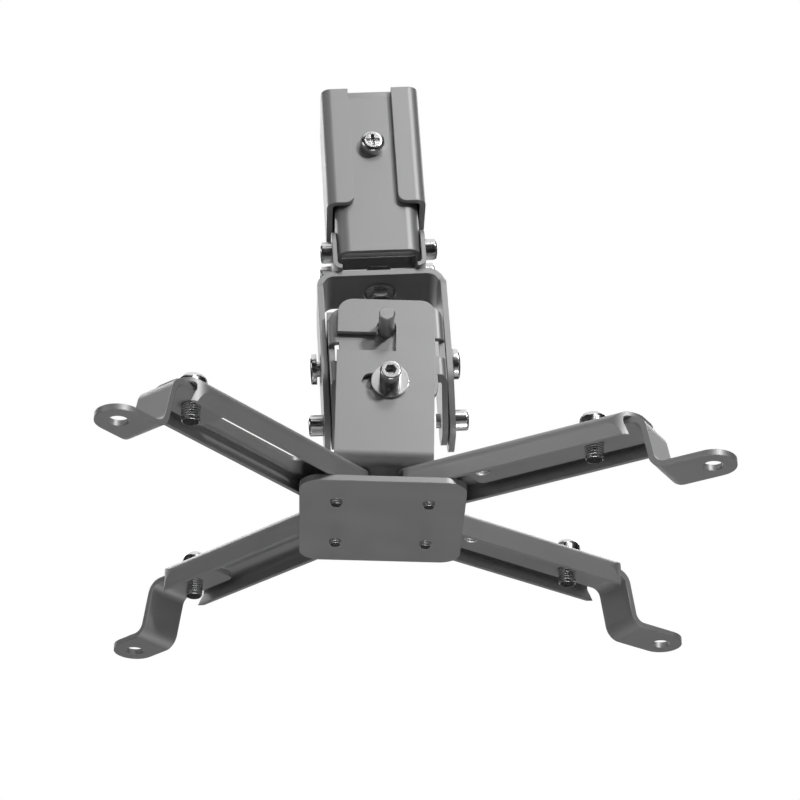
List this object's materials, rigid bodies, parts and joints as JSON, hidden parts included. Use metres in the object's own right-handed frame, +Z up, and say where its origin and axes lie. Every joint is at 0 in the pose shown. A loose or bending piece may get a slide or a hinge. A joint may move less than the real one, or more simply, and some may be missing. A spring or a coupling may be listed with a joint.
{
  "type": "projector mount",
  "caption": "Lower end of a ceiling mount: telescopic square column, swivel yoke, tilt block, hook-on head and slotted channel arms with sliding drop feet.",
  "frame": {"origin": "middle of the outer column's cut top end", "axes": "+Z up along the column, +X to the right and +Y away from the viewer who faces the head bracket's front plate"},
  "size_m": [0.1991, 0.1889, 0.18],
  "materials": {
    "powder_coat": "satin silver-grey powder coat on folded steel sheet",
    "bright_zinc": "bright zinc-plated fasteners"
  },
  "bodies": {
    "column": {"outer_column": "powder_coat"},
    "inner": {"inner_column": "powder_coat", "height_screw": "bright_zinc", "height_nut": "bright_zinc", "knuckle": "powder_coat", "knuckle_bolt_front": "bright_zinc", "knuckle_bolt_rear": "bright_zinc", "knuckle_nut_front": "bright_zinc", "knuckle_nut_rear": "bright_zinc", "swivel_bolt": "bright_zinc", "swivel_nut": "bright_zinc"},
    "yoke": {"swivel_yoke": "powder_coat"},
    "block": {"tilt_block": "powder_coat", "tilt_pivot_left": "bright_zinc", "tilt_pivot_right": "bright_zinc", "tilt_lock_left": "bright_zinc", "tilt_lock_right": "bright_zinc", "roll_pin": "bright_zinc", "roll_screw": "bright_zinc", "roll_washer": "bright_zinc", "roll_nut": "bright_zinc"},
    "head": {"head_bracket": "powder_coat", "clamp_plate": "powder_coat", "clamp_screw_front_left": "bright_zinc", "clamp_screw_front_right": "bright_zinc", "clamp_screw_rear_left": "bright_zinc", "clamp_screw_rear_right": "bright_zinc"},
    "arm_front_left": {"arm_front_left": "powder_coat"},
    "foot_front_left": {"foot_front_left": "powder_coat", "foot_bolt_front_left": "bright_zinc"},
    "arm_front_right": {"arm_front_right": "powder_coat"},
    "foot_front_right": {"foot_front_right": "powder_coat", "foot_bolt_front_right": "bright_zinc"},
    "arm_rear_left": {"arm_rear_left": "powder_coat"},
    "foot_rear_left": {"foot_rear_left": "powder_coat", "foot_bolt_rear_left": "bright_zinc"},
    "arm_rear_right": {"arm_rear_right": "powder_coat"},
    "foot_rear_right": {"foot_rear_right": "powder_coat", "foot_bolt_rear_right": "bright_zinc"}
  },
  "joints": [
    {"name": "height_slide", "type": "slide", "parent": "column", "child": "inner", "axis": [0, 0, -1], "range_m": [-0.002, 0.02]},
    {"name": "swivel", "type": "hinge", "parent": "inner", "child": "yoke", "pos_m": [0, 0, -0.0718], "axis": [0, 0, 1], "continuous": true},
    {"name": "tilt", "type": "hinge", "parent": "yoke", "child": "block", "pos_m": [0, 0, -0.124], "axis": [1, 0, 0], "range_deg": [-15, 15]},
    {"name": "roll", "type": "hinge", "parent": "block", "child": "head", "pos_m": [0, -0.023, -0.101], "axis": [0, 1, 0], "range_deg": [-19.3, 10.7]},
    {"name": "arm_swing_front_left", "type": "hinge", "parent": "head", "child": "arm_front_left", "pos_m": [-0.01875, -0.015, -0.15033], "axis": [0.075, 0, 0.9972], "range_deg": [-30, 30]},
    {"name": "foot_slide_front_left", "type": "slide", "parent": "arm_front_left", "child": "foot_front_left", "axis": [-0.6672, -0.7431, 0.0502], "range_m": [-0.033, 0.0024]},
    {"name": "arm_swing_front_right", "type": "hinge", "parent": "head", "child": "arm_front_right", "pos_m": [0.01116, -0.015, -0.15258], "axis": [0.075, 0, 0.9972], "range_deg": [-30, 30]},
    {"name": "foot_slide_front_right", "type": "slide", "parent": "arm_front_right", "child": "foot_front_right", "axis": [0.841, -0.5373, -0.0632], "range_m": [-0.0117, 0.0102]},
    {"name": "arm_swing_rear_left", "type": "hinge", "parent": "head", "child": "arm_rear_left", "pos_m": [-0.01875, 0.015, -0.15033], "axis": [0.075, 0, 0.9972], "range_deg": [-30, 30]},
    {"name": "foot_slide_rear_left", "type": "slide", "parent": "arm_rear_left", "child": "foot_rear_left", "axis": [-0.6977, 0.7145, 0.0525], "range_m": [-0.0348, 0.0006]},
    {"name": "arm_swing_rear_right", "type": "hinge", "parent": "head", "child": "arm_rear_right", "pos_m": [0.01116, 0.015, -0.15258], "axis": [0.075, 0, 0.9972], "range_deg": [-30, 30]},
    {"name": "foot_slide_rear_right", "type": "slide", "parent": "arm_rear_right", "child": "foot_rear_right", "axis": [0.8438, 0.5329, -0.0634], "range_m": [-0.0109, 0.011]}
  ]
}
